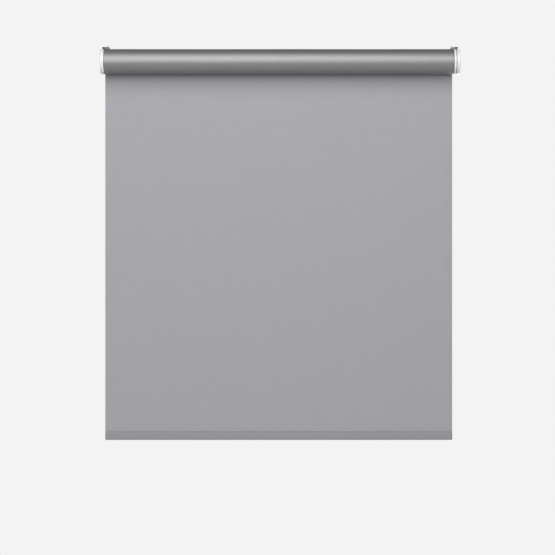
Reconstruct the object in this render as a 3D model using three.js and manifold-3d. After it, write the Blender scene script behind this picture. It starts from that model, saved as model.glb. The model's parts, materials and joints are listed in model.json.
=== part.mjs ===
// Battery-powered roller blind for a window recess, in millimetres.
// +X runs to the right along the roller, +Y towards the window, +Z up.
// The origin is midway between the two end covers, on the top fixing plane, above the roller's axis.

import * as THREE from 'three';
import { mergeVertices } from 'three/addons/utils/BufferGeometryUtils.js';
import Module from 'manifold-3d';

const wasm = await Module();
wasm.setup();

// ---- driving dimensions ----

const OVERALL_WIDTH = 720;
const AXIS_DROP = 31;
const AXIS_SETBACK = 34;
const FABRIC_WIDTH = 700;
const FABRIC_THICKNESS = 0.45;
const LEFT_END = 7.4;
const ROLL_RADIUS = 24.5;
const DROP = 761;
const GAP = 0.3;

const TUBE_RADIUS = 22.5;
const TUBE_WALL = 1.2;
const GROOVE_WIDTH = 6.2;
const GROOVE_DEPTH = 2.2;
const SPLINE_INSET = 0.15;

const HEM_HEIGHT = 17;
const HEM_DEPTH = 6.4;
const HEM_WALL = 0.6;
const HEM_CAP_FLANGE = 1.6;

const PLATE = 2;
const FLANGE_REACH = 15;
const FLANGE_CORNER = 3;
const BRACKET_FRONT = -8.2;
const BRACKET_LOW = -11;
const BRACKET_NOSE_RADIUS = 23.9;
const NECK_FROM_DEG = -50;
const NECK_TO_DEG = 110;
const NECK_SLACK_DEG = 2;
const SLOT_WIDTH = 4;
const SLOT_LENGTH = 8;
const TOP_SLOTS_Y = [0, 24];
const BACK_SLOTS_Z = [-4, 18];

const COVER_RADIUS = 25.7;
const COVER_WALL = 1.2;
const COVER_CORNER = 1.6;
const COVER_DISH = { radius: 19, slope: 0.8, depth: 0.4 };
const COVER_DEPTH = { left: 6.8, right: 6 };

const PIN_RADIUS = 3;
const PIN_CHAMFER = 0.6;
const PIN_COLLAR_RADIUS = 5.8;
const PIN_COLLAR_WIDTH = 3.5;
const PIN_TAIL = { radius: 2.8, length: 12 };
const SPRING = { inner: 3.3, outer: 5.6 };
const SPRING_CHAMBER_RADIUS = 6.2;
const BUSH_FLANGE_RADIUS = 9;
const PLUG_LENGTH = 44;
const PLUG_NOSE = 7;
const PLUG_FLOOR = 4;

const HEAD_RADIUS = 24.6;
const HEAD_WIDTH = 4.5;
const HEAD_FLOOR = 4;
const HEAD_CHAMFER = 0.5;
const HOUSING_RADIUS = 14;
const HOUSING_WALL = 0.8;
const HOUSING_LENGTH = 442;
const CELL_RADIUS = 9.2;
const CELL_LENGTH = 65;
const CELL_COUNT = 3;
const CELL_PITCH = 67;
const CELL_NIPPLE = { radius: 2.6, height: 1 };

// Booleans reach this far past the faces that they cut.
const OVERSHOOT = 1;

// Facets in a full turn.
const FINE_TURN = 64;
const MIDDLE_TURN = 32;
const SMALL_TURN = 24;

// ---- places along the roller, worked out from them ----

const outerX = OVERALL_WIDTH / 2;
const fabricLeft = -outerX + LEFT_END;
const fabricRight = fabricLeft + FABRIC_WIDTH;
const plateOuter = outerX - COVER_WALL - GAP;
const plateInner = plateOuter - PLATE;
const headOuter = outerX - COVER_DEPTH.right - 1;
const headInner = headOuter - HEAD_WIDTH;
const plugFlange = 1.6;
const tubeLeft = fabricLeft + GAP + plugFlange + GAP;
const tubeRight = fabricRight - GAP - plugFlange - GAP;
const housingRight = headInner - HEAD_FLOOR;
const housingLeft = housingRight - HOUSING_LENGTH;
const plugRadius = TUBE_RADIUS - TUBE_WALL - 0.4;
const plugFlangeRadius = TUBE_RADIUS - 0.2;
const notchRadius = TUBE_RADIUS - GROOVE_DEPTH - TUBE_WALL - GAP;
const notchWidth = GROOVE_WIDTH + 2 * TUBE_WALL + 2 * GAP;
const panelY = ROLL_RADIUS + GAP + FABRIC_THICKNESS / 2;
const hemBottom = -DROP;

// ---- materials ----

function finish(color, roughness, metalness) {
  return new THREE.MeshStandardMaterial({ color, roughness, metalness });
}

const WHITE_PLASTIC = finish(0xf2f2f2, 0.35, 0);
const WHITE_STEEL = finish(0xe6e6e6, 0.45, 0.2);
const GREY_FABRIC = finish(0xa2a1a7, 0.9, 0);
const HEM_FABRIC = finish(0x949399, 0.9, 0);
const GREY_PLASTIC = finish(0x8e8e92, 0.5, 0);
const DARK_PLASTIC = finish(0x2c2d30, 0.5, 0);
const RUBBER = finish(0xdcdcdc, 0.8, 0);
const ALUMINIUM = finish(0xc8cacc, 0.35, 0.9);
const STEEL = finish(0xa9abae, 0.3, 0.9);
const CIRCUIT_GREEN = finish(0x1f5a3a, 0.6, 0);
const CELL_WRAP = finish(0x3f6fae, 0.5, 0);
const CLEAR_PLASTIC = finish(0xe8eef0, 0.2, 0);

// ---- geometry helpers ----

// A shape drawn in (Y, Z) and extruded along X.
const SECTION_TO_X = new THREE.Matrix4().makeBasis(
  new THREE.Vector3(0, 1, 0),
  new THREE.Vector3(0, 0, 1),
  new THREE.Vector3(1, 0, 0),
);

function prismX(shape, fromX, toX, curveSegments = 16) {
  const settings = { depth: toX - fromX, bevelEnabled: false, curveSegments };
  const geometry = new THREE.ExtrudeGeometry(shape, settings);
  geometry.applyMatrix4(SECTION_TO_X);
  return geometry.translate(fromX, 0, 0);
}

// A profile of [radius, x] points turned about the X axis. It runs in +X along its outer side.
function turnedX(points, segments = MIDDLE_TURN) {
  const profile = points.map(([radius, x]) => new THREE.Vector2(radius, x));
  return new THREE.LatheGeometry(profile, segments).rotateZ(-Math.PI / 2);
}

const rodX = (radius, fromX, toX, segments) =>
  turnedX([[0, fromX], [radius, fromX], [radius, toX], [0, toX]], segments);

const ringX = (inner, outer, fromX, toX, segments) =>
  turnedX([[inner, fromX], [outer, fromX], [outer, toX], [inner, toX], [inner, fromX]], segments);

function box(from, to) {
  const size = to.map((value, axis) => value - from[axis]);
  const middle = to.map((value, axis) => (value + from[axis]) / 2);
  return new THREE.BoxGeometry(...size).translate(...middle);
}

function circleHole(y, z, radius) {
  return new THREE.Path().absarc(y, z, radius, 0, 2 * Math.PI, true);
}

// A slot with round ends, its length along the shape's first axis.
function slotHole(u, v) {
  const half = (SLOT_LENGTH - SLOT_WIDTH) / 2;
  const hole = new THREE.Path();
  hole.absarc(u - half, v, SLOT_WIDTH / 2, Math.PI / 2, 1.5 * Math.PI, false);
  hole.absarc(u + half, v, SLOT_WIDTH / 2, -Math.PI / 2, Math.PI / 2, false);
  hole.closePath();
  return hole;
}

function toSolid(geometry) {
  const bare = geometry.clone();
  bare.deleteAttribute('normal');
  bare.deleteAttribute('uv');
  const merged = mergeVertices(bare, 1e-4);
  return new wasm.Manifold(new wasm.Mesh({
    numProp: 3,
    vertProperties: new Float32Array(merged.attributes.position.array),
    triVerts: new Uint32Array(merged.index.array),
  }));
}

function toGeometry(solid) {
  const { vertProperties, triVerts } = solid.getMesh();
  const geometry = new THREE.BufferGeometry();
  geometry.setAttribute('position', new THREE.BufferAttribute(vertProperties, 3));
  geometry.setIndex(new THREE.BufferAttribute(triVerts, 1));
  geometry.computeVertexNormals();
  return geometry;
}

const joined = (...pieces) => toGeometry(pieces.map(toSolid).reduce((all, next) => all.add(next)));

const cut = (piece, ...tools) =>
  toGeometry(tools.map(toSolid).reduce((left, tool) => left.subtract(tool), toSolid(piece)));

const common = (piece, other) => toGeometry(toSolid(piece).intersect(toSolid(other)));

function add(group, name, geometry, material) {
  const mesh = new THREE.Mesh(geometry, material);
  mesh.name = name;
  group.add(mesh);
  return mesh;
}

// ---- the scene graph ----

const blind = new THREE.Group();

// Everything is drawn about the roller's axis.
const aboutAxis = new THREE.Group();
aboutAxis.position.z = -AXIS_DROP;
blind.add(aboutAxis);

// ---- brackets and their covers ----

// A round nose about the axis, widening backwards and upwards to the two flanges.
function bracketOutline() {
  const noseFrom = THREE.MathUtils.degToRad(NECK_TO_DEG);
  const noseTo = THREE.MathUtils.degToRad(NECK_FROM_DEG) + 2 * Math.PI;
  const outline = new THREE.Shape();
  outline.moveTo(AXIS_SETBACK, AXIS_DROP);
  outline.lineTo(BRACKET_FRONT, AXIS_DROP);
  outline.absarc(0, 0, BRACKET_NOSE_RADIUS, noseFrom, noseTo, false);
  outline.lineTo(AXIS_SETBACK, BRACKET_LOW);
  outline.closePath();
  return outline;
}

// The sector that a cover's rim leaves open for the neck of the bracket's plate.
function neckOutline() {
  const from = THREE.MathUtils.degToRad(NECK_FROM_DEG - NECK_SLACK_DEG);
  const to = THREE.MathUtils.degToRad(NECK_TO_DEG + NECK_SLACK_DEG);
  const outline = new THREE.Shape();
  outline.moveTo(0, 0);
  outline.absarc(0, 0, COVER_RADIUS + OVERSHOOT, from, to, false);
  outline.closePath();
  return outline;
}

// A flange from the plate inwards, its free corner rounded; side is -1 on the left and 1 on the right.
function flangeOutline(side, freeEnd, farEnd) {
  const plateX = side * plateOuter;
  const freeX = side * (plateOuter - FLANGE_REACH);
  const cornerX = freeX + side * FLANGE_CORNER;
  const cornerTo = side < 0 ? 0 : -Math.PI;
  const outline = new THREE.Shape();
  outline.moveTo(plateX, freeEnd);
  outline.lineTo(cornerX, freeEnd);
  outline.absarc(cornerX, freeEnd + FLANGE_CORNER, FLANGE_CORNER, -Math.PI / 2, cornerTo, side > 0);
  outline.lineTo(freeX, farEnd);
  outline.lineTo(plateX, farEnd);
  outline.closePath();
  return outline;
}

function bracket(side, plateHoles) {
  const plateFrom = side < 0 ? -plateOuter : plateInner;
  const outline = bracketOutline();
  outline.holes.push(...plateHoles);
  const plate = prismX(outline, plateFrom, plateFrom + PLATE, 12);

  const slotX = side * (plateOuter - FLANGE_REACH / 2 - PLATE / 2);
  const settings = { depth: PLATE, bevelEnabled: false, curveSegments: 5 };
  const top = flangeOutline(side, BRACKET_FRONT, AXIS_SETBACK);
  top.holes.push(...TOP_SLOTS_Y.map((y) => slotHole(slotX, y)));
  const topFlange = new THREE.ExtrudeGeometry(top, settings).translate(0, 0, AXIS_DROP - PLATE);

  // Drawn in (X, Z) and pushed forward from the back face.
  const back = flangeOutline(side, BRACKET_LOW, AXIS_DROP);
  back.holes.push(...BACK_SLOTS_Z.map((z) => slotHole(slotX, z)));
  const backFlange = new THREE.ExtrudeGeometry(back, settings).rotateX(Math.PI / 2);
  backFlange.translate(0, AXIS_SETBACK, 0);

  return joined(plate, topFlange, backFlange);
}

// A round cup with a shallow dish in its face, its rim open where the bracket's neck passes through.
function cover(side, depth) {
  const cornerSteps = 3;
  const flat = COVER_RADIUS - COVER_CORNER;
  const dishFloor = -outerX + COVER_DISH.depth;
  const profile = [
    [0, dishFloor],
    [COVER_DISH.radius, dishFloor],
    [COVER_DISH.radius + COVER_DISH.slope, -outerX],
  ];
  for (let step = 0; step <= cornerSteps; step += 1) {
    const angle = (step / cornerSteps) * (Math.PI / 2);
    const radius = flat + COVER_CORNER * Math.sin(angle);
    profile.push([radius, -outerX + COVER_CORNER * (1 - Math.cos(angle))]);
  }
  profile.push([COVER_RADIUS, -outerX + depth]);
  profile.push([COVER_RADIUS - COVER_WALL, -outerX + depth]);
  profile.push([COVER_RADIUS - COVER_WALL, -outerX + COVER_WALL]);
  profile.push([0, -outerX + COVER_WALL]);
  const cup = turnedX(profile, FINE_TURN);
  if (side > 0) cup.rotateY(Math.PI);
  const ends = [side * (outerX - COVER_WALL), side * (outerX - depth - OVERSHOOT)].sort((a, b) => a - b);
  return cut(cup, prismX(neckOutline(), ...ends));
}

const bushHole = 6;
const carrierScrewY = 14;
const spigotHalf = 7.3;
const squareHole = (half) => {
  const hole = new THREE.Path();
  hole.moveTo(-half, -half);
  hole.lineTo(-half, half);
  hole.lineTo(half, half);
  hole.lineTo(half, -half);
  hole.closePath();
  return hole;
};

const screwHoles = [-carrierScrewY, carrierScrewY].map((y) => circleHole(y, 0, 1.8));
add(aboutAxis, 'bracket_left', bracket(-1, [circleHole(0, 0, bushHole)]), WHITE_STEEL);
add(aboutAxis, 'bracket_right', bracket(1, screwHoles), WHITE_STEEL);
add(aboutAxis, 'bracket_cover_left', cover(-1, COVER_DEPTH.left), WHITE_PLASTIC);
add(aboutAxis, 'bracket_cover_right', cover(1, COVER_DEPTH.right), WHITE_PLASTIC);

// ---- left end: bearing bush, sprung pin and the plug that carries it ----

const bushFlange = 1.6;
const bushRadius = bushHole - GAP;
const bushBore = PIN_RADIUS + GAP;
add(aboutAxis, 'bearing_bush', turnedX([
  [bushBore, -plateOuter],
  [bushRadius, -plateOuter],
  [bushRadius, -plateInner + GAP],
  [BUSH_FLANGE_RADIUS, -plateInner + GAP],
  [BUSH_FLANGE_RADIUS, -plateInner + GAP + bushFlange],
  [bushBore, -plateInner + GAP + bushFlange],
  [bushBore, -plateOuter],
]), DARK_PLASTIC);

const keyNotch = (fromX, toX) =>
  box([fromX, -notchWidth / 2, notchRadius], [toX, notchWidth / 2, TUBE_RADIUS + OVERSHOOT]);

const plugFace = fabricLeft + GAP;
const plugEnd = plugFace + PLUG_LENGTH;
const chamberFrom = plugFace + PLUG_NOSE;
const chamberTo = plugEnd - PLUG_FLOOR;
const plugBody = turnedX([
  [bushBore, plugFace],
  [plugFlangeRadius, plugFace],
  [plugFlangeRadius, plugFace + plugFlange],
  [plugRadius, plugFace + plugFlange],
  [plugRadius, plugEnd],
  [0, plugEnd],
  [0, chamberTo],
  [SPRING_CHAMBER_RADIUS, chamberTo],
  [SPRING_CHAMBER_RADIUS, chamberFrom],
  [bushBore, chamberFrom],
  [bushBore, plugFace],
]);
add(aboutAxis, 'idle_plug', cut(plugBody, keyNotch(tubeLeft - GAP, plugEnd + OVERSHOOT)), GREY_PLASTIC);

const collarFrom = chamberFrom + GAP;
const collarTo = collarFrom + PIN_COLLAR_WIDTH;
const pinTail = collarTo + PIN_TAIL.length;
add(aboutAxis, 'idle_pin', turnedX([
  [0, -plateOuter],
  [PIN_RADIUS - PIN_CHAMFER, -plateOuter],
  [PIN_RADIUS, -plateOuter + PIN_CHAMFER],
  [PIN_RADIUS, collarFrom],
  [PIN_COLLAR_RADIUS, collarFrom],
  [PIN_COLLAR_RADIUS, collarTo],
  [PIN_TAIL.radius, collarTo],
  [PIN_TAIL.radius, pinTail],
  [0, pinTail],
]), STEEL);
const springCoil = ringX(SPRING.inner, SPRING.outer, collarTo + GAP, chamberTo - GAP, SMALL_TURN);
add(aboutAxis, 'idle_spring', springCoil, STEEL);

// ---- the roller: grooved tube, spline and the fabric wound on it ----

// A round tube whose wall dips inwards to form the groove, at the top.
function tubeSection() {
  const outerAngle = Math.asin(GROOVE_WIDTH / 2 / TUBE_RADIUS);
  const outer = new THREE.Shape();
  outer.absarc(0, 0, TUBE_RADIUS, Math.PI / 2 + outerAngle, 2.5 * Math.PI - outerAngle, false);
  outer.lineTo(GROOVE_WIDTH / 2, TUBE_RADIUS - GROOVE_DEPTH);
  outer.lineTo(-GROOVE_WIDTH / 2, TUBE_RADIUS - GROOVE_DEPTH);
  outer.closePath();

  const innerRadius = TUBE_RADIUS - TUBE_WALL;
  const half = GROOVE_WIDTH / 2 + TUBE_WALL;
  const innerAngle = Math.asin(half / innerRadius);
  const hollow = new THREE.Path();
  hollow.absarc(0, 0, innerRadius, Math.PI / 2 + innerAngle, 2.5 * Math.PI - innerAngle, false);
  hollow.lineTo(half, TUBE_RADIUS - GROOVE_DEPTH - TUBE_WALL);
  hollow.lineTo(-half, TUBE_RADIUS - GROOVE_DEPTH - TUBE_WALL);
  hollow.closePath();
  outer.holes.push(hollow);
  return outer;
}

add(aboutAxis, 'roller_tube', prismX(tubeSection(), tubeLeft, tubeRight, 24), ALUMINIUM);
add(aboutAxis, 'fabric_spline', box(
  [tubeLeft, -GROOVE_WIDTH / 2 + GAP, TUBE_RADIUS - GROOVE_DEPTH + GAP],
  [tubeRight, GROOVE_WIDTH / 2 - GAP, TUBE_RADIUS - SPLINE_INSET],
), DARK_PLASTIC);
const woundFabric = ringX(TUBE_RADIUS + GAP, ROLL_RADIUS, fabricLeft, fabricRight, FINE_TURN);
add(aboutAxis, 'fabric_roll', woundFabric, GREY_FABRIC);

// ---- hanging fabric and hem ----

const hemTop = hemBottom + HEM_HEIGHT;
add(aboutAxis, 'fabric_panel', box(
  [fabricLeft, panelY - FABRIC_THICKNESS / 2, hemTop + GAP],
  [fabricRight, panelY + FABRIC_THICKNESS / 2, 0],
), GREY_FABRIC);

// An upright stadium about the hem's middle, smaller than the pocket by inset all round.
function hemSection(inset, hole) {
  const radius = HEM_DEPTH / 2 - inset;
  const reach = (HEM_HEIGHT - HEM_DEPTH) / 2;
  const section = hole ? new THREE.Path() : new THREE.Shape();
  section.absarc(0, reach, radius, 0, Math.PI, false);
  section.absarc(0, -reach, radius, Math.PI, 2 * Math.PI, false);
  section.closePath();
  return section;
}

const hem = new THREE.Group();
hem.position.set(0, panelY, hemBottom + HEM_HEIGHT / 2);
aboutAxis.add(hem);

const capInset = HEM_CAP_FLANGE + GAP;
const pocket = hemSection(0, false);
pocket.holes.push(hemSection(HEM_WALL, true));
const pocketLeft = fabricLeft + capInset;
const pocketRight = fabricRight - capInset;
add(hem, 'hem_pocket', prismX(pocket, pocketLeft, pocketRight, 8), HEM_FABRIC);

const barInset = HEM_WALL + GAP;
const barWall = 1;
const bar = hemSection(barInset, false);
bar.holes.push(hemSection(barInset + barWall, true));
add(hem, 'hem_bar', prismX(bar, pocketLeft, pocketRight, 8), ALUMINIUM);

const capPlug = 14;
const capOverlap = HEM_CAP_FLANGE / 2;
const plugSection = hemSection(barInset + barWall + GAP, false);
add(hem, 'hem_cap_left', joined(
  prismX(hemSection(0, false), fabricLeft, fabricLeft + HEM_CAP_FLANGE, 8),
  prismX(plugSection, fabricLeft + capOverlap, fabricLeft + capPlug, 8),
), GREY_PLASTIC);
add(hem, 'hem_cap_right', joined(
  prismX(hemSection(0, false), fabricRight - HEM_CAP_FLANGE, fabricRight, 8),
  prismX(plugSection, fabricRight - capPlug, fabricRight - capOverlap, 8),
), GREY_PLASTIC);

// ---- right end: carrier plate on the bracket, motor head and crown ring ----

const carrierFrom = headOuter + GAP;
const carrierTo = plateInner - GAP;
const carrierRadius = 20.5;
const screw = { radius: 1.5, head: 3, land: 0.2, cone: 1.5 };
const carrierOutline = new THREE.Shape().absarc(0, 0, carrierRadius, 0, 2 * Math.PI, false);
carrierOutline.holes.push(squareHole(spigotHalf + GAP));
const countersink = (y, extra) => turnedX([
  [0, carrierFrom - extra],
  [screw.head + extra, carrierFrom - extra],
  [screw.head + extra, carrierFrom + screw.land],
  [screw.radius + extra, carrierFrom + screw.land + screw.cone],
  [screw.radius + extra, plateOuter],
  [0, plateOuter],
], SMALL_TURN).translate(0, y, 0);
add(aboutAxis, 'motor_carrier', cut(
  prismX(carrierOutline, carrierFrom, carrierTo, 14),
  countersink(-carrierScrewY, GAP),
  countersink(carrierScrewY, GAP),
), DARK_PLASTIC);
add(aboutAxis, 'carrier_screw_front', countersink(-carrierScrewY, 0), STEEL);
add(aboutAxis, 'carrier_screw_back', countersink(carrierScrewY, 0), STEEL);

// The head is a flange with a square spigot outside and a sleeve over the housing inside.
const sleeveRadius = HOUSING_RADIUS + 3.2;
const sleeveLength = 22;
const sleeveFrom = housingRight - sleeveLength;
const headBody = turnedX([
  [0, housingRight + GAP],
  [HOUSING_RADIUS + GAP, housingRight + GAP],
  [HOUSING_RADIUS + GAP, sleeveFrom],
  [sleeveRadius, sleeveFrom],
  [sleeveRadius, headInner],
  [HEAD_RADIUS - HEAD_CHAMFER, headInner],
  [HEAD_RADIUS, headInner + HEAD_CHAMFER],
  [HEAD_RADIUS, headOuter - HEAD_CHAMFER],
  [HEAD_RADIUS - HEAD_CHAMFER, headOuter],
  [0, headOuter],
], FINE_TURN);
const spigot = box(
  [headOuter - OVERSHOOT, -spigotHalf, -spigotHalf],
  [carrierTo - GAP, spigotHalf, spigotHalf],
);

// The charging port opens in the rim at the bottom, behind a flap; the button and lens stand behind it.
const headMid = (headInner + headOuter) / 2;
const portHalf = { x: 1.6, y: 4.6 };
const portRoof = -15.8;
const flapHalf = { x: 1.9, y: 6.6 };
const flapSeat = -HEAD_RADIUS + 1.8;
const portHole = box(
  [headMid - portHalf.x, -portHalf.y, -HEAD_RADIUS - OVERSHOOT],
  [headMid + portHalf.x, portHalf.y, portRoof],
);
const flapRecess = box(
  [headMid - flapHalf.x, -flapHalf.y, -HEAD_RADIUS - OVERSHOOT],
  [headMid + flapHalf.x, flapHalf.y, flapSeat],
);

// A rod standing radially in the head's rim, turned from straight down towards the window.
function radialRod(radius, fromRadius, toRadius, degrees) {
  const rod = new THREE.CylinderGeometry(radius, radius, toRadius - fromRadius, 16);
  rod.translate(0, (fromRadius + toRadius) / 2, 0);
  rod.rotateX(THREE.MathUtils.degToRad(degrees - 90));
  return rod.translate(headMid, 0, 0);
}

const BUTTON_ANGLE = 40;
const LENS_ANGLE = 62;
const buttonRadius = 1.6;
const lensRadius = 0.9;
const wellFloor = 19;
const switchTop = 21.3;
const buttonTravelRoom = 0.8;
const buttonProud = 0.3;
const rimOutside = HEAD_RADIUS + OVERSHOOT;
add(aboutAxis, 'motor_head', cut(
  joined(headBody, spigot),
  portHole,
  flapRecess,
  radialRod(buttonRadius + GAP, wellFloor, rimOutside, BUTTON_ANGLE),
  radialRod(lensRadius + GAP, wellFloor, rimOutside, LENS_ANGLE),
), WHITE_PLASTIC);
const setSwitch = radialRod(buttonRadius, wellFloor + GAP, switchTop, BUTTON_ANGLE);
const buttonFrom = switchTop + buttonTravelRoom;
const setButton = radialRod(buttonRadius, buttonFrom, HEAD_RADIUS + buttonProud, BUTTON_ANGLE);
add(aboutAxis, 'set_switch', setSwitch, DARK_PLASTIC);
add(aboutAxis, 'set_button', setButton, GREY_PLASTIC);
const lens = radialRod(lensRadius, wellFloor + GAP, HEAD_RADIUS, LENS_ANGLE);
add(aboutAxis, 'status_lens', lens, CLEAR_PLASTIC);

// The socket's metal shell, open below, with its contact tongue.
const shellHalf = { x: portHalf.x - GAP, y: portHalf.y - GAP };
const shellWall = 0.35;
const shellBack = 0.6;
const shellMouth = flapSeat + 2.6;
const shellRoof = portRoof - GAP;
const shell = cut(
  box([headMid - shellHalf.x, -shellHalf.y, shellMouth], [headMid + shellHalf.x, shellHalf.y, shellRoof]),
  box(
    [headMid - shellHalf.x + shellWall, -shellHalf.y + shellWall, shellMouth - OVERSHOOT],
    [headMid + shellHalf.x - shellWall, shellHalf.y - shellWall, shellRoof - shellBack],
  ),
);
const tongueHalf = { x: 0.3, y: 3.2 };
const tongueSetIn = 0.8;
const tongue = box(
  [headMid - tongueHalf.x, -tongueHalf.y, shellMouth + tongueSetIn],
  [headMid + tongueHalf.x, tongueHalf.y, shellRoof - shellBack / 2],
);
add(aboutAxis, 'charge_socket', joined(shell, tongue), STEEL);

// The flap follows the rim outside and has a plug that enters the port's mouth.
const flapPlateHalf = { x: flapHalf.x - 0.2, y: flapHalf.y - GAP };
const flapPlugHalf = { x: 1.2, y: 3.9 };
const flapPlugJoin = 0.5;
const flapPlate = common(
  rodX(HEAD_RADIUS, headMid - flapPlateHalf.x, headMid + flapPlateHalf.x, 96),
  box(
    [headMid - flapHalf.x, -flapPlateHalf.y, -HEAD_RADIUS - OVERSHOOT],
    [headMid + flapHalf.x, flapPlateHalf.y, flapSeat - GAP],
  ),
);
const flapPlug = box(
  [headMid - flapPlugHalf.x, -flapPlugHalf.y, flapSeat - GAP - flapPlugJoin],
  [headMid + flapPlugHalf.x, flapPlugHalf.y, shellMouth - GAP],
);
add(aboutAxis, 'port_flap', joined(flapPlate, flapPlug), RUBBER);

const crownBore = sleeveRadius + GAP;
const crownFace = fabricRight - GAP;
const crownFrom = sleeveFrom + 1;
add(aboutAxis, 'crown_ring', cut(turnedX([
  [crownBore, crownFrom],
  [plugRadius, crownFrom],
  [plugRadius, crownFace - plugFlange],
  [plugFlangeRadius, crownFace - plugFlange],
  [plugFlangeRadius, crownFace],
  [crownBore, crownFace],
  [crownBore, crownFrom],
]), keyNotch(crownFrom - OVERSHOOT, tubeRight + GAP)), DARK_PLASTIC);

// ---- the tubular motor, from its output end to its head ----

const innerHousing = HOUSING_RADIUS - HOUSING_WALL;
const fillRadius = innerHousing - GAP;
const housing = ringX(innerHousing, HOUSING_RADIUS, housingLeft, housingRight);
add(aboutAxis, 'motor_housing', housing, STEEL);

const gearboxLength = 54;
const shaftBore = 4.4;
const gearboxBore = 10;
const gearboxFace = housingLeft - 1.5;
const gearboxEnd = housingLeft + gearboxLength;
add(aboutAxis, 'gearbox', turnedX([
  [shaftBore, gearboxFace],
  [HOUSING_RADIUS, gearboxFace],
  [HOUSING_RADIUS, housingLeft - GAP],
  [fillRadius, housingLeft - GAP],
  [fillRadius, gearboxEnd],
  [0, gearboxEnd],
  [0, gearboxFace + gearboxBore],
  [shaftBore, gearboxFace + gearboxBore],
  [shaftBore, gearboxFace],
]), DARK_PLASTIC);

const brakeLength = 16;
const motor = { radius: 12, length: 57, bossRadius: 5, boss: 4 };
const brakeEnd = gearboxEnd + brakeLength;
const motorEnd = brakeEnd + motor.length;
add(aboutAxis, 'brake', rodX(fillRadius, gearboxEnd + GAP, brakeEnd), STEEL);
add(aboutAxis, 'dc_motor', turnedX([
  [0, brakeEnd + GAP],
  [motor.radius, brakeEnd + GAP],
  [motor.radius, motorEnd - motor.boss],
  [motor.bossRadius, motorEnd - motor.boss],
  [motor.bossRadius, motorEnd],
  [0, motorEnd],
]), STEEL);

// Shaft: square in the drive wheel, round in the gearbox and under its clip.
const wheelWidth = 18;
const wheelRight = gearboxFace - 1;
const wheelLeft = wheelRight - wheelWidth;
const shaftSquare = 4;
const shaftStub = 4.4;
const clip = { radius: 7.4, width: 1.1 };
add(aboutAxis, 'output_shaft', joined(
  rodX(shaftBore - GAP, wheelLeft - shaftStub, gearboxFace + gearboxBore - OVERSHOOT, SMALL_TURN),
  box([wheelLeft, -shaftSquare, -shaftSquare], [wheelRight, shaftSquare, shaftSquare]),
), STEEL);
const clipRight = wheelLeft - GAP;
const clipRing = ringX(shaftBore, clip.radius, clipRight - clip.width, clipRight, SMALL_TURN);
add(aboutAxis, 'shaft_clip', clipRing, STEEL);

const wheelOutline = new THREE.Shape().absarc(0, 0, plugRadius, 0, 2 * Math.PI, false);
wheelOutline.holes.push(squareHole(shaftSquare + GAP));
const wheelHoles = { count: 5, ring: 12.6, radius: 3.6 };
for (let index = 0; index < wheelHoles.count; index += 1) {
  const angle = Math.PI * (2 * index / wheelHoles.count - 0.5);
  const y = wheelHoles.ring * Math.cos(angle);
  const z = wheelHoles.ring * Math.sin(angle);
  wheelOutline.holes.push(circleHole(y, z, wheelHoles.radius));
}
add(aboutAxis, 'drive_wheel', cut(
  prismX(wheelOutline, wheelLeft, wheelRight, 12),
  keyNotch(wheelLeft - OVERSHOOT, wheelRight + OVERSHOOT),
), GREY_PLASTIC);

// The board lies flat between motor and cells, with its three larger chips on top.
const board = { length: 80, halfWidth: 10, halfThickness: 0.8 };
const chips = [
  { from: 12, length: 14, halfWidth: 6, top: 2.6 },
  { from: 36, length: 8, halfWidth: 4, top: 2.2 },
  { from: 58, length: 16, halfWidth: 8, top: 3.4 },
];
const chipSunk = 0.3;
const boardFrom = motorEnd + 3;
const boardTo = boardFrom + board.length;
const boardPlate = box(
  [boardFrom, -board.halfWidth, -board.halfThickness],
  [boardTo, board.halfWidth, board.halfThickness],
);
const chipBoxes = chips.map((chip) => box(
  [boardFrom + chip.from, -chip.halfWidth, board.halfThickness - chipSunk],
  [boardFrom + chip.from + chip.length, chip.halfWidth, chip.top],
));
add(aboutAxis, 'control_board', joined(boardPlate, ...chipBoxes), CIRCUIT_GREEN);

const cellsFrom = boardTo + 4;
for (let index = 0; index < CELL_COUNT; index += 1) {
  const from = cellsFrom + index * CELL_PITCH;
  const shoulder = from + CELL_NIPPLE.height;
  add(aboutAxis, `battery_cell_${index + 1}`, turnedX([
    [0, from],
    [CELL_NIPPLE.radius, from],
    [CELL_NIPPLE.radius, shoulder],
    [CELL_RADIUS, shoulder],
    [CELL_RADIUS, from + CELL_LENGTH],
    [0, from + CELL_LENGTH],
  ]), CELL_WRAP);
}

// A trough under the cells.
const cellsTo = cellsFrom + (CELL_COUNT - 1) * CELL_PITCH + CELL_LENGTH;
const troughFrom = 1.1 * Math.PI;
const troughTo = 1.9 * Math.PI;
const cradle = new THREE.Shape();
cradle.absarc(0, 0, fillRadius, troughFrom, troughTo, false);
cradle.absarc(0, 0, CELL_RADIUS + GAP, troughTo, troughFrom, true);
cradle.closePath();
add(aboutAxis, 'cell_cradle', prismX(cradle, cellsFrom, cellsTo, 10), DARK_PLASTIC);

// The lead runs over the cells from the board to the head.
const leadRadius = 1;
const leadClearance = 0.5;
const leadHeight = CELL_RADIUS + GAP + leadRadius + leadClearance;
const leadRoute = new THREE.CatmullRomCurve3([
  new THREE.Vector3(housingRight - 1, 0, 0),
  new THREE.Vector3(housingRight - 8, 0, 0.5),
  new THREE.Vector3(cellsTo + 8, 0, 7),
  new THREE.Vector3(cellsTo - 4, 0, leadHeight),
  new THREE.Vector3((cellsFrom + cellsTo) / 2, 0, leadHeight),
  new THREE.Vector3(cellsFrom + 4, 0, leadHeight),
  new THREE.Vector3(cellsFrom - 6, 0, leadHeight - 1),
], false, 'centripetal');
const leadSection = new THREE.Shape().absarc(0, 0, leadRadius, 0, 2 * Math.PI, false);
add(aboutAxis, 'power_lead', new THREE.ExtrudeGeometry(leadSection, {
  steps: 24,
  bevelEnabled: false,
  extrudePath: leadRoute,
  curveSegments: 4,
}), DARK_PLASTIC);

export default blind;
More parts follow.
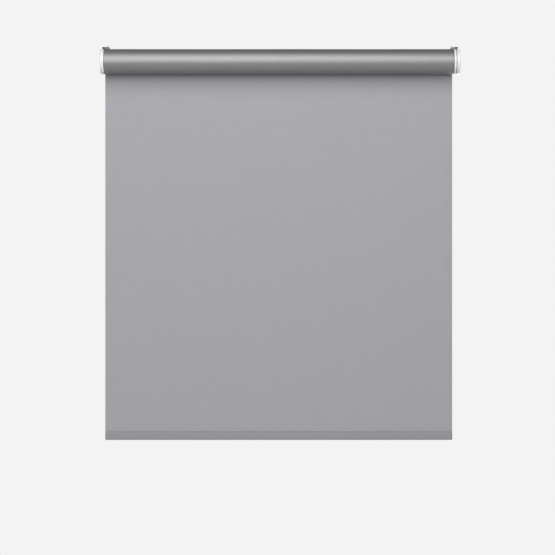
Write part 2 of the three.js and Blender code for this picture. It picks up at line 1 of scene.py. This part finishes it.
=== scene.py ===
"""A chainless roller blind: cloth, roll, hem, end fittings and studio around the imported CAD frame."""

import json
import math

import bmesh
import bpy
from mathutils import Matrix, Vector


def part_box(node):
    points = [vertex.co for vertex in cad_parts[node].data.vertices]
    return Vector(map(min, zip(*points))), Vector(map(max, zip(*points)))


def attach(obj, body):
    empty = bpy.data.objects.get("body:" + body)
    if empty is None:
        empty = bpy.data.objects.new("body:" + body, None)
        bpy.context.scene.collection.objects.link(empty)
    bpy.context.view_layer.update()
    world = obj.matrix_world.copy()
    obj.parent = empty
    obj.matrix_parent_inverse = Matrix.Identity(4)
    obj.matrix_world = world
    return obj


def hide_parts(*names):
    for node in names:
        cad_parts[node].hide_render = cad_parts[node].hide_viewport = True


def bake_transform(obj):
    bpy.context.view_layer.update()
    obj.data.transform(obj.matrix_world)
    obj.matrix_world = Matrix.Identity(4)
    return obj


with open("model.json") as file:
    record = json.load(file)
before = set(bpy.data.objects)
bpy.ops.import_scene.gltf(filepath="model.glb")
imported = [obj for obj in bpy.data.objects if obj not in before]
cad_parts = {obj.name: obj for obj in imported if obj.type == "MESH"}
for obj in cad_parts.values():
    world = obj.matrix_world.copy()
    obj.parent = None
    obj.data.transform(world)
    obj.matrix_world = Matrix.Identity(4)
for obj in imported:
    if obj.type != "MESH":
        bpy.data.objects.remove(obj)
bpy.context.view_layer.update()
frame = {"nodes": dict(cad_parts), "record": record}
NODES = frame["nodes"]

MM = 0.001

# ---- places, all read from the frame ----

ROLL_LOW, ROLL_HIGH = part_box("fabric_roll")
PANEL_LOW, PANEL_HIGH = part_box("fabric_panel")
POCKET_LOW, POCKET_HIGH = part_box("hem_pocket")

AXIS = Vector((0, (ROLL_LOW.y + ROLL_HIGH.y) / 2, (ROLL_LOW.z + ROLL_HIGH.z) / 2))
ROLL_RADIUS = (ROLL_HIGH.z - ROLL_LOW.z) / 2
CLOTH_LEFT, CLOTH_RIGHT = PANEL_LOW.x, PANEL_HIGH.x
PANEL_Y = (PANEL_LOW.y + PANEL_HIGH.y) / 2
HEM_MIDDLE = (POCKET_LOW + POCKET_HIGH) / 2
HEM_HALF_HEIGHT = (POCKET_HIGH.z - POCKET_LOW.z) / 2
HEM_HALF_DEPTH = (POCKET_HIGH.y - POCKET_LOW.y) / 2
HEM_TOP = POCKET_HIGH.z

CLOTH = 0.42 * MM
WRAP_PITCH = 0.45 * MM
OUTER_WRAP = ROLL_RADIUS + 0.1 * MM

# ---- camera ----

CAMERA_DISTANCE = 4.5
CAMERA_BELOW_AXIS = 0.4333
CAMERA_LEFT = 0.0051
VIEW_WIDTH = 1.1139


def add_camera():
    data = bpy.data.cameras.new("camera")
    data.sensor_width = 36
    data.lens = data.sensor_width * CAMERA_DISTANCE / VIEW_WIDTH
    camera = bpy.data.objects.new("camera", data)
    camera.location = (-CAMERA_LEFT, AXIS.y - CAMERA_DISTANCE, AXIS.z - CAMERA_BELOW_AXIS)
    camera.rotation_euler = (math.pi / 2, 0, 0)
    bpy.context.collection.objects.link(camera)
    bpy.context.scene.camera = camera


add_camera()

# ---- materials ----


class Finish:
    """A principled material with short ways to vary its colour, roughness and surface."""

    def __init__(self, name, roughness, metallic=0.0, specular=0.5):
        self.material = bpy.data.materials.new(name)
        self.material.use_nodes = True
        self.nodes = self.material.node_tree.nodes
        self.links = self.material.node_tree.links
        self.shader = self.nodes["Principled BSDF"]
        self.shader.inputs["Roughness"].default_value = roughness
        self.shader.inputs["Metallic"].default_value = metallic
        self.shader.inputs["Specular IOR Level"].default_value = specular
        self.place = self.nodes.new("ShaderNodeTexCoord").outputs["Object"]
        self.normal = None

    def stretched(self, scale):
        mapping = self.nodes.new("ShaderNodeMapping")
        mapping.inputs["Scale"].default_value = scale
        self.links.new(self.place, mapping.inputs["Vector"])
        return mapping.outputs["Vector"]

    def noise(self, size, detail=3.0, stretch=(1, 1, 1)):
        """Noise whose blotches are about size metres across."""
        texture = self.nodes.new("ShaderNodeTexNoise")
        texture.inputs["Scale"].default_value = 1 / size
        texture.inputs["Detail"].default_value = detail
        self.links.new(self.stretched(stretch), texture.inputs["Vector"])
        return texture.outputs["Fac"]

    def stripes(self, pitch, direction):
        """Soft parallel ridges, one each pitch metres along direction."""
        wave = self.nodes.new("ShaderNodeTexWave")
        wave.bands_direction = direction
        wave.inputs["Scale"].default_value = math.pi / (10 * pitch)
        wave.inputs["Distortion"].default_value = 0.0
        self.links.new(self.place, wave.inputs["Vector"])
        return wave.outputs["Fac"]

    def math(self, operation, first, second):
        node = self.nodes.new("ShaderNodeMath")
        node.operation = operation
        for socket, value in zip(node.inputs, (first, second)):
            if isinstance(value, (int, float)):
                socket.default_value = value
            else:
                self.links.new(value, socket)
        return node.outputs["Value"]

    def ramp(self, factor, low, high):
        """Maps a factor of 0 to 1 onto low to high."""
        node = self.nodes.new("ShaderNodeMapRange")
        node.inputs["To Min"].default_value = low
        node.inputs["To Max"].default_value = high
        self.links.new(factor, node.inputs["Value"])
        return node.outputs["Result"]

    def colour(self, factor, dark, light):
        mix = self.nodes.new("ShaderNodeMix")
        mix.data_type = "RGBA"
        mix.inputs["A"].default_value = (*dark, 1)
        mix.inputs["B"].default_value = (*light, 1)
        self.links.new(factor, mix.inputs["Factor"])
        self.links.new(mix.outputs["Result"], self.shader.inputs["Base Color"])
        return self

    def rough(self, factor, low, high):
        self.links.new(self.ramp(factor, low, high), self.shader.inputs["Roughness"])
        return self

    def bump(self, height, depth, strength=1.0):
        """Adds relief of depth metres; each call builds on the one before."""
        node = self.nodes.new("ShaderNodeBump")
        node.inputs["Strength"].default_value = strength
        node.inputs["Distance"].default_value = depth
        self.links.new(height, node.inputs["Height"])
        if self.normal is not None:
            self.links.new(self.normal, node.inputs["Normal"])
        self.normal = node.outputs["Normal"]
        self.links.new(self.normal, self.shader.inputs["Normal"])
        return self


def shades(colour, spread):
    """Darker and lighter neighbours of a colour."""
    return [tuple(channel * factor for channel in colour) for factor in (1 - spread, 1 + spread)]


WEAVE_PITCH = 0.62 * MM
FRONT_COLOUR = (0.299, 0.295, 0.317)
# the hem pocket is the front fabric painted darker: painted shade on the pocket, not a colour of its own
HEM_PAINTED_SHADE_COLOUR = (0.2465, 0.243, 0.261)
BACK_COLOUR = (0.235, 0.235, 0.238)


def woven(name, colour):
    """Plain weave: crossing threads with slubs in both directions."""
    finish = Finish(name, 0.88, specular=0.25)
    warp = finish.stripes(WEAVE_PITCH, "X")
    weft = finish.stripes(WEAVE_PITCH, "Z")
    threads = finish.math("MAXIMUM", warp, weft)
    slubs = finish.math(
        "ADD",
        finish.noise(1.2 * MM, stretch=(1, 1, 0.05)),
        finish.noise(1.2 * MM, stretch=(0.05, 1, 1)),
    )
    tone = finish.math("ADD", finish.math("MULTIPLY", threads, 0.3), finish.math("MULTIPLY", slubs, 0.35))
    finish.colour(tone, *shades(colour, 0.15))
    finish.bump(threads, 0.09 * MM, 0.8).bump(slubs, 0.1 * MM, 0.6)
    finish.shader.inputs["Sheen Weight"].default_value = 0.08
    finish.shader.inputs["Sheen Roughness"].default_value = 0.5
    return finish.material


def coated():
    """The reverse of the cloth: a smooth grey coating that lets a trace of the weave through."""
    finish = Finish("coated_reverse", 0.54, metallic=0.72, specular=0.5)
    finish.colour(finish.noise(30 * MM, 5), *shades(BACK_COLOUR, 0.03))
    finish.rough(finish.noise(6 * MM, 4), 0.50, 0.58)
    finish.bump(finish.stripes(WEAVE_PITCH, "X"), 0.012 * MM, 0.5)
    finish.bump(finish.noise(0.5 * MM, 2), 0.012 * MM, 0.5)
    return finish.material


def cut_edge():
    """The heat-sealed cut edge of the cloth."""
    finish = Finish("cut_edge", 0.8)
    finish.colour(finish.noise(0.8 * MM, 4), *shades((0.30, 0.30, 0.31), 0.12))
    finish.bump(finish.noise(0.3 * MM, 3), 0.05 * MM, 0.6)
    return finish.material


def moulded(name, colour, roughness, spread=0.02, grain=0.35 * MM, depth=0.012 * MM, specular=0.5):
    """Moulded plastic: faint flow marks and a fine sparked texture."""
    finish = Finish(name, roughness, specular=specular)
    finish.colour(finish.noise(14 * MM, 4), *shades(colour, spread))
    finish.rough(finish.noise(5 * MM, 4), roughness - 0.05, roughness + 0.07)
    finish.bump(finish.noise(grain, 3), depth, 0.5)
    return finish.material


def powder_coated():
    """White powder coat: orange peel over pressed steel."""
    finish = Finish("white_powder_coat", 0.42)
    finish.colour(finish.noise(18 * MM, 4), *shades((0.70, 0.70, 0.695), 0.02))
    finish.rough(finish.noise(3 * MM, 4), 0.36, 0.5)
    finish.bump(finish.noise(1.1 * MM, 2), 0.03 * MM, 0.5)
    return finish.material


def metal(name, colour, roughness, grain=(1, 1, 1)):
    """Bare metal with drawn or machined grain."""
    finish = Finish(name, roughness, metallic=1.0)
    grained = finish.noise(0.7 * MM, 5, stretch=grain)
    finish.colour(finish.noise(9 * MM, 5), *shades(colour, 0.07))
    finish.rough(grained, roughness - 0.08, roughness + 0.12)
    finish.bump(grained, 0.008 * MM, 0.4)
    return finish.material


def circuit():
    """Green solder mask with tracks showing through."""
    finish = Finish("solder_mask", 0.35)
    tracks = finish.math("MAXIMUM", finish.stripes(2.1 * MM, "X"), finish.stripes(2.6 * MM, "Y"))
    finish.colour(tracks, (0.01, 0.07, 0.035), (0.02, 0.13, 0.06))
    finish.bump(tracks, 0.03 * MM, 0.5)
    return finish.material


def frosted():
    finish = Finish("frosted_lens", 0.3)
    finish.shader.inputs["Transmission Weight"].default_value = 0.6
    finish.colour(finish.noise(1.5 * MM, 3), *shades((0.85, 0.88, 0.9), 0.03))
    finish.bump(finish.noise(0.3 * MM, 2), 0.01 * MM, 0.5)
    return finish.material


FRONT = woven("woven_front", FRONT_COLOUR)
# the hem's weave is the front weave with painted shade in its colour
HEM_PAINTED_SHADE = woven("woven_hem_painted_shade", HEM_PAINTED_SHADE_COLOUR)
BACK = coated()
EDGE = cut_edge()
FINISHES = {
    "white_plastic": moulded("white_plastic", (0.68, 0.68, 0.68), 0.3),
    "white_steel": powder_coated(),
    "grey_plastic": moulded("grey_plastic", (0.27, 0.27, 0.285), 0.48, 0.04),
    "dark_plastic": moulded("dark_plastic", (0.025, 0.026, 0.028), 0.45, 0.08),
    "soft_rubber": moulded("soft_rubber", (0.62, 0.62, 0.62), 0.68, 0.03, 0.2 * MM, 0.02 * MM, 0.3),
    "aluminium": metal("drawn_aluminium", (0.60, 0.61, 0.62), 0.34, (0.02, 1, 1)),
    "steel": metal("zinc_plated_steel", (0.48, 0.49, 0.51), 0.3),
    "circuit_board": circuit(),
    "cell_wrap": moulded("cell_wrap", (0.05, 0.16, 0.36), 0.35, 0.05),
    "clear_lens": frosted(),
}
SLOT_OF = {part["node"]: part["material_slot"] for part in frame["record"]["subparts"]}

# ---- mesh helpers ----


def add_mesh(name, vertices, faces, materials, indices=None):
    mesh = bpy.data.meshes.new(name)
    mesh.from_pydata(vertices, [], faces)
    for material in materials:
        mesh.materials.append(material)
    if indices:
        mesh.polygons.foreach_set("material_index", indices)
    mesh.update()
    piece = bpy.data.objects.new(name, mesh)
    bpy.context.collection.objects.link(piece)
    return piece


def smooth(piece, degrees=35):
    """Smooth shading that keeps edges sharper than the angle."""
    bpy.ops.object.select_all(action="DESELECT")
    piece.select_set(True)
    bpy.context.view_layer.objects.active = piece
    bpy.ops.object.shade_smooth_by_angle(angle=math.radians(degrees))
    return piece


def side_normals(path):
    """For each (y, z) point of an open path, the unit vector to the left of its direction."""
    normals = []
    for index in range(len(path)):
        before = path[max(index - 1, 0)]
        after = path[min(index + 1, len(path) - 1)]
        along = Vector((after[0] - before[0], after[1] - before[1])).normalized()
        normals.append(Vector((-along.y, along.x)))
    return normals


def cloth_sheet(name, path, columns, left, right, materials, relief=None):
    """A sheet of cloth that follows path in (y, z) and runs from left to right.

    materials are for the side on the path's left, the side on its right, and the cut edges.
    relief(x, y, z) gives how far a point moves towards the window.
    """
    normals = side_normals(path)
    xs = [left + (right - left) * column for column in columns]
    rows, count = len(path), len(xs)
    vertices = []
    for side in (1, -1):
        for (y, z), normal in zip(path, normals):
            for x in xs:
                shift = relief(x, y, z) if relief else 0.0
                swell = roll_unevenness(x, y, z) if relief and not hangs(y, z) else 0.0
                offset = (side * CLOTH / 2 + swell) * normal
                vertices.append((x, y + offset.x + shift, z + offset.y))
    faces, indices = [], []

    def add_face(corners, index):
        faces.append(corners)
        indices.append(index)

    def at(side, row, column):
        return (side * rows + row) * count + column

    for row in range(rows - 1):
        for column in range(count - 1):
            corners = [(row, column), (row, column + 1), (row + 1, column + 1), (row + 1, column)]
            add_face([at(0, *corner) for corner in corners], 0)
            add_face([at(1, *corner) for corner in reversed(corners)], 1)
        for column in (0, count - 1):
            corners = [at(0, row, column), at(0, row + 1, column), at(1, row + 1, column), at(1, row, column)]
            add_face(corners if column == 0 else corners[::-1], 2)
    for column in range(count - 1):
        for row in (0, rows - 1):
            corners = [at(0, row, column), at(1, row, column), at(1, row, column + 1), at(0, row, column + 1)]
            add_face(corners if row == 0 else corners[::-1], 2)
    piece = add_mesh(name, vertices, faces, materials, indices)
    shell = bmesh.new()
    shell.from_mesh(piece.data)
    bmesh.ops.recalc_face_normals(shell, faces=shell.faces)
    shell.to_mesh(piece.data)
    shell.free()
    return smooth(piece)


def spread_columns(count, edge_share=0.03, edge_count=8):
    """Shares from 0 to 1, closer together near both ends."""
    edge = [edge_share * index / edge_count for index in range(edge_count)]
    middle = [edge_share + (1 - 2 * edge_share) * index / count for index in range(count + 1)]
    return edge + middle + [1 - share for share in reversed(edge)]


def refined(node, body, bevel=0.25 * MM, segments=2, degrees=24):
    """A CAD node's own shape with its edges rounded over, as moulding, pressing or turning leaves them."""
    source = NODES[node]
    mesh = source.data.copy()
    shell = bmesh.new()
    shell.from_mesh(mesh)
    bmesh.ops.remove_doubles(shell, verts=shell.verts, dist=1e-6)
    bmesh.ops.dissolve_limit(shell, angle_limit=math.radians(0.5), verts=shell.verts, edges=shell.edges)
    bmesh.ops.recalc_face_normals(shell, faces=shell.faces)
    shell.to_mesh(mesh)
    shell.free()
    piece = bpy.data.objects.new(node + "_finished", mesh)
    piece.matrix_world = source.matrix_world.copy()
    bpy.context.collection.objects.link(piece)
    mesh.materials.clear()
    mesh.materials.append(FINISHES[SLOT_OF[node]])
    for polygon in mesh.polygons:
        polygon.material_index = 0
    smooth(piece, degrees)
    rounding = piece.modifiers.new("rounded_edges", "BEVEL")
    rounding.width = bevel
    rounding.segments = segments
    rounding.limit_method = "ANGLE"
    rounding.angle_limit = math.radians(degrees)
    rounding.harden_normals = True
    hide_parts(node)
    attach(piece, body)
    return piece


# ---- cloth: the outer wrap and the hanging fabric are one sheet, the inner wraps another ----


def around_axis(radius, degrees):
    """A point about the roller's axis, from the window side over the top."""
    angle = math.radians(degrees)
    return AXIS.y + radius * math.cos(angle), AXIS.z + radius * math.sin(angle)


# angles about the axis: the outer wrap tucks in here, and the tube's groove is at its top
TUCK_DEGREES = 345
GROOVE_DEGREES = 90
WRAP_STEP = 5
HANG_ROWS = 56
WELD_LINES = (2.2 * MM, 3.6 * MM)
WELD_DEPTH = 0.06 * MM


def hanging_path():
    """From the tuck under the window side, round the roll and down to the top of the hem."""
    path = [around_axis(OUTER_WRAP, degrees) for degrees in range(TUCK_DEGREES, -1, -WRAP_STEP)]
    top_y, top_z = path[-1]
    weld_top = HEM_TOP + 6 * MM
    for row in range(1, HANG_ROWS + 1):
        share = row / HANG_ROWS
        path.append((top_y + (PANEL_Y - top_y) * share, top_z + (weld_top - top_z) * share))
    for line in reversed(WELD_LINES):
        for rise, press in ((0.35 * MM, 0), (0.1 * MM, WELD_DEPTH), (-0.1 * MM, WELD_DEPTH), (-0.35 * MM, 0)):
            path.append((PANEL_Y + press, HEM_TOP + line + rise))
    path.append((PANEL_Y, HEM_TOP + 0.05 * MM))
    return path


HANGS_BEHIND = 0.98 * ROLL_RADIUS


def hangs(y, z):
    """Whether a point is on the fabric's drop, and not on the wrap round the roll."""
    return z < AXIS.z and y > AXIS.y + HANGS_BEHIND


# the cut edges of the drop cup towards the window
EDGE_CURL = 1.1 * MM
EDGE_CURL_WIDTH = 14 * MM
# faint waves across the drop: their height, and their length along X in metres
WIDE_WAVE, WIDE_WAVE_LENGTH = 0.35 * MM, 0.41
FINE_WAVE, FINE_WAVE_LENGTH = 0.2 * MM, 0.17
# the outer wrap's waves, which die out over this many degrees at both its ends
ROLL_WAVE = 0.07 * MM
ROLL_WAVE_FADE = 25
LONG_ROLL_WAVE, SHORT_ROLL_WAVE = 0.31, 0.113


def roll_unevenness(x, y, z):
    """How far the outer wrap stands off or in from a true cylinder, as wound cloth does."""
    angle = math.atan2(z - AXIS.z, y - AXIS.y) % (2 * math.pi)
    turn = math.degrees(angle)
    fade = min(1.0, max(0.0, min(turn, TUCK_DEGREES - turn)) / ROLL_WAVE_FADE)
    long_wave = math.sin(2 * math.pi * x / LONG_ROLL_WAVE + 1.3 * math.sin(angle))
    short_wave = math.sin(2 * math.pi * x / SHORT_ROLL_WAVE + 2.0 * math.cos(angle))
    return ROLL_WAVE * fade * (0.7 * long_wave + 0.3 * short_wave)


def drop_relief(x, y, z):
    """The hanging cloth's slight unevenness: its cut edges cup back and faint waves cross it."""
    if not hangs(y, z):
        return 0.0
    hang = AXIS.z - z
    length = AXIS.z - HEM_TOP
    share = min(hang / length, 1.0)
    from_edge = min(x - CLOTH_LEFT, CLOTH_RIGHT - x)
    edge = max(0.0, 1 - from_edge / EDGE_CURL_WIDTH) ** 2
    curl = edge * EDGE_CURL * min(1.0, 6 * share * (1 - share) + 0.15)
    wide = WIDE_WAVE * math.sin(2 * math.pi * (x / WIDE_WAVE_LENGTH + 0.2))
    fine = FINE_WAVE * math.sin(2 * math.pi * (x / FINE_WAVE_LENGTH + share))
    return math.sin(math.pi * share) * (wide + fine) + curl


def add_hanging_cloth():
    cloth = cloth_sheet(
        "hanging_cloth", hanging_path(), spread_columns(56), CLOTH_LEFT, CLOTH_RIGHT,
        [BACK, FRONT, EDGE], drop_relief,
    )
    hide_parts("fabric_panel")
    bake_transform(cloth)
    return cloth


# the outer wrap stands this much clear of the next, so that its unevenness never reaches it
WAVE_ROOM = 0.12 * MM
# the innermost turn ends at the groove along the top of the tube
INNER_TURNS = 2 + (TUCK_DEGREES - GROOVE_DEGREES) / 360


def add_wound_cloth():
    """The wraps under the outer one, a spiral down to the tube."""
    start = OUTER_WRAP - WRAP_PITCH - WAVE_ROOM
    steps = round(INNER_TURNS * 360 / WRAP_STEP)
    path = []
    for index in range(steps + 1):
        degrees = TUCK_DEGREES - index * WRAP_STEP
        path.append(around_axis(start - WRAP_PITCH * index * WRAP_STEP / 360, degrees))
    columns = [0, 0.002, 0.01, 0.25, 0.5, 0.75, 0.99, 0.998, 1]
    wound = cloth_sheet("wound_cloth", path, columns, CLOTH_LEFT, CLOTH_RIGHT, [BACK, FRONT, EDGE])
    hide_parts("fabric_roll")
    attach(wound, "roller")
    return wound


def arc(middle_y, middle_z, radius, start, end, steps):
    """Points on an arc in (y, z), with angles from +Y towards +Z."""
    points = []
    for index in range(steps + 1):
        angle = math.radians(start + (end - start) * index / steps)
        points.append((middle_y + radius * math.cos(angle), middle_z + radius * math.sin(angle)))
    return points


def add_hem_pocket():
    """The cloth turned up round the bar, its flap welded to the back of the hanging cloth."""
    radius = HEM_HALF_DEPTH - CLOTH / 2
    reach = HEM_HALF_HEIGHT - HEM_HALF_DEPTH
    flap_y = HEM_MIDDLE.y + CLOTH + 0.03 * MM
    path = [(flap_y, HEM_TOP + 5.2 * MM), (flap_y, HEM_TOP + 2.6 * MM), (flap_y, HEM_TOP + 0.1 * MM)]
    path += arc(HEM_MIDDLE.y, HEM_MIDDLE.z + reach, radius, 68, 0, 7)
    path += arc(HEM_MIDDLE.y, HEM_MIDDLE.z - reach, radius, 0, -180, 18)
    path += arc(HEM_MIDDLE.y, HEM_MIDDLE.z + reach, radius, -180, -270, 9)
    pocket = cloth_sheet(
        "hem_cloth", path, spread_columns(40), POCKET_LOW.x, POCKET_HIGH.x, [HEM_PAINTED_SHADE, BACK, EDGE],
    )
    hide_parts("hem_pocket")
    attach(pocket, "hem")
    return pocket


add_hanging_cloth()
add_wound_cloth()
add_hem_pocket()

# ---- the idle pin's coil spring ----


def tube_along(name, points, radius, sides, material):
    """A round wire along a list of points, with closed ends."""
    vertices, faces = [], []
    up = Vector((1, 0, 0))
    for index, point in enumerate(points):
        after = points[min(index + 1, len(points) - 1)]
        before = points[max(index - 1, 0)]
        along = (after - before).normalized()
        across = along.cross(up).normalized()
        lift = across.cross(along)
        for side in range(sides):
            angle = 2 * math.pi * side / sides
            vertices.append(point + radius * (math.cos(angle) * across + math.sin(angle) * lift))
    for index in range(len(points) - 1):
        for side in range(sides):
            turn = (side + 1) % sides
            low, high = index * sides, (index + 1) * sides
            faces.append([low + side, low + turn, high + turn, high + side])
    faces.append(list(range(sides))[::-1])
    faces.append([(len(points) - 1) * sides + side for side in range(sides)])
    return smooth(add_mesh(name, vertices, faces, [material]))


def add_spring():
    low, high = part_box("idle_spring")
    wire = 0.5 * MM
    radius = (high.y - low.y) / 2 - wire
    turns, steps = 11, 24
    points = []
    for index in range(turns * steps + 1):
        angle = 2 * math.pi * index / steps
        share = index / (turns * steps)
        x = low.x + wire + (high.x - low.x - 2 * wire) * share
        points.append(Vector((x, AXIS.y + radius * math.cos(angle), AXIS.z + radius * math.sin(angle))))
    spring = tube_along("idle_coil_spring", points, wire, 8, FINISHES["steel"])
    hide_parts("idle_spring")
    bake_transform(spring)


add_spring()

# ---- rigid pieces ----

BODY_OF = {
    node: body
    for body, nodes in frame["record"]["behaviour"]["bodies"].items()
    for node in nodes
}
ROUNDED = {
    "bracket_left": 0.4 * MM,
    "bracket_right": 0.4 * MM,
    "bracket_cover_left": 0.35 * MM,
    "bracket_cover_right": 0.35 * MM,
    "bearing_bush": 0.3 * MM,
    "idle_plug": 0.3 * MM,
    "idle_pin": 0.25 * MM,
    "motor_head": 0.25 * MM,
    "motor_carrier": 0.25 * MM,
    "crown_ring": 0.3 * MM,
    "set_button": 0.2 * MM,
    "port_flap": 0.25 * MM,
    "hem_cap_left": 0.35 * MM,
    "hem_cap_right": 0.35 * MM,
}


def add_rigid_pieces():
    for node, width in ROUNDED.items():
        refined(node, BODY_OF[node], width)
    for node, source in NODES.items():
        if source.hide_render:
            continue
        for slot in source.material_slots:
            slot.material = FINISHES[SLOT_OF[node]]


add_rigid_pieces()

# ---- studio ----

FLOOR_HALF_WIDTH = 14.0
FLOOR_FRONT = -16.0
FLOOR_BACK = 5.3
FLOOR_Z = -1.7


def add_floor():
    corners = [
        (-FLOOR_HALF_WIDTH, FLOOR_FRONT), (FLOOR_HALF_WIDTH, FLOOR_FRONT),
        (FLOOR_HALF_WIDTH, FLOOR_BACK), (-FLOOR_HALF_WIDTH, FLOOR_BACK),
    ]
    finish = Finish("studio_floor", 0.7)
    finish.colour(finish.noise(0.4, 3), *shades((0.92, 0.92, 0.92), 0.01))
    floor = add_mesh("floor", [(x, y, FLOOR_Z) for x, y in corners], [[0, 1, 2, 3]], [finish.material])
    floor.is_shadow_catcher = True


def area_light(name, location, target, size, power):
    data = bpy.data.lights.new(name, "AREA")
    data.shape = "RECTANGLE"
    data.size, data.size_y = size
    data.energy = power
    light = bpy.data.objects.new(name, data)
    light.location = location
    light.visible_camera = False
    light.rotation_euler = (Vector(target) - Vector(location)).to_track_quat("-Z", "Y").to_euler()
    bpy.context.collection.objects.link(light)


BACKDROP_STRENGTH = 0.895
FRONT_STRENGTH = 0.95
OVERHEAD_SHARE = 0.14
SIDE_SHARE = 0.5


def add_world():
    """A pale backdrop; the light it gives falls off overhead, below and towards the two sides."""
    world = bpy.data.worlds.new("studio")
    world.use_nodes = True
    nodes, links = world.node_tree.nodes, world.node_tree.links
    background = nodes["Background"]
    direction = nodes.new("ShaderNodeTexCoord").outputs["Generated"]
    split = nodes.new("ShaderNodeSeparateXYZ")
    links.new(direction, split.inputs["Vector"])

    def fade(axis, start, end, share):
        """1 near the middle of the axis, falling to share towards both its ends."""
        size = nodes.new("ShaderNodeMath")
        size.operation = "ABSOLUTE"
        links.new(split.outputs[axis], size.inputs[0])
        node = nodes.new("ShaderNodeMapRange")
        node.inputs["From Min"].default_value = start
        node.inputs["From Max"].default_value = end
        node.inputs["To Min"].default_value = 1.0
        node.inputs["To Max"].default_value = share
        links.new(size.outputs["Value"], node.inputs["Value"])
        return node.outputs["Result"]

    def product(first, second):
        node = nodes.new("ShaderNodeMath")
        node.operation = "MULTIPLY"
        for socket, value in zip(node.inputs, (first, second)):
            if isinstance(value, float):
                socket.default_value = value
            else:
                links.new(value, socket)
        return node.outputs["Value"]

    shape = product(fade("Z", 0.12, 0.5, OVERHEAD_SHARE), fade("X", 0.55, 0.95, SIDE_SHARE))
    seen = nodes.new("ShaderNodeMix")
    seen.inputs["B"].default_value = BACKDROP_STRENGTH
    links.new(nodes.new("ShaderNodeLightPath").outputs["Is Camera Ray"], seen.inputs["Factor"])
    links.new(product(shape, FRONT_STRENGTH), seen.inputs["A"])
    links.new(seen.outputs["Result"], background.inputs["Strength"])
    background.inputs["Color"].default_value = (1, 1, 1, 1)
    bpy.context.scene.world = world
    bpy.context.scene.view_settings.view_transform = "Standard"


KEY_PLACE = (-0.25, -2.5, 1.18)
KEY_TARGET = (0, 0, -0.1)
KEY_SIZE = (2.2, 2.8)
KEY_POWER = 99
BACK_PLACE = (0.5, 2.6, -0.75)
BACK_TARGET = (0, 0, -0.4)
BACK_SIZE = (2.0, 1.4)
BACK_POWER = 55

add_floor()
add_world()
area_light("key", KEY_PLACE, KEY_TARGET, KEY_SIZE, KEY_POWER)
area_light("back", BACK_PLACE, BACK_TARGET, BACK_SIZE, BACK_POWER)
